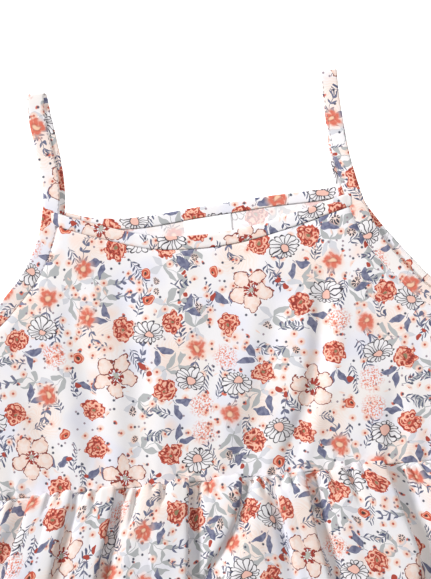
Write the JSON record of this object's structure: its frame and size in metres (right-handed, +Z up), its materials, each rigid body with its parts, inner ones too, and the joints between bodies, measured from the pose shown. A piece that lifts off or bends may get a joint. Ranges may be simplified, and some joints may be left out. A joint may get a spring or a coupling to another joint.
{
  "type": "sundress",
  "caption": "Small child's sundress laid flat: strappy bodice with a banded scooped neck, bound armholes and a skirt gathered into the waist seam.",
  "frame": {"origin": "middle of the whole dress on the surface it lies on", "axes": "+Y from the hem towards the straps, +X to the right seen from the front of the dress, +Z up out of the dress front"},
  "size_m": [0.4702, 0.5996, 0.0108],
  "materials": {
    "printed_cloth": "fine woven cloth, matt, off-white with a small coral, peach and slate flower print",
    "printed_cloth_inside": "the same cloth's wrong side, the print showing through paler",
    "printed_binding": "folded strips of the printed cloth, edge stitched",
    "satin_label": "white satin ribbon, bare"
  },
  "bodies": {
    "root": {"bodice_front": "printed_cloth", "bodice_back": "printed_cloth_inside", "skirt_front": "printed_cloth", "skirt_back": "printed_cloth_inside", "strap_left": "printed_binding", "strap_right": "printed_binding", "neck_band_front": "printed_cloth", "neck_band_back": "printed_cloth_inside", "label": "satin_label"}
  },
  "joints": []
}
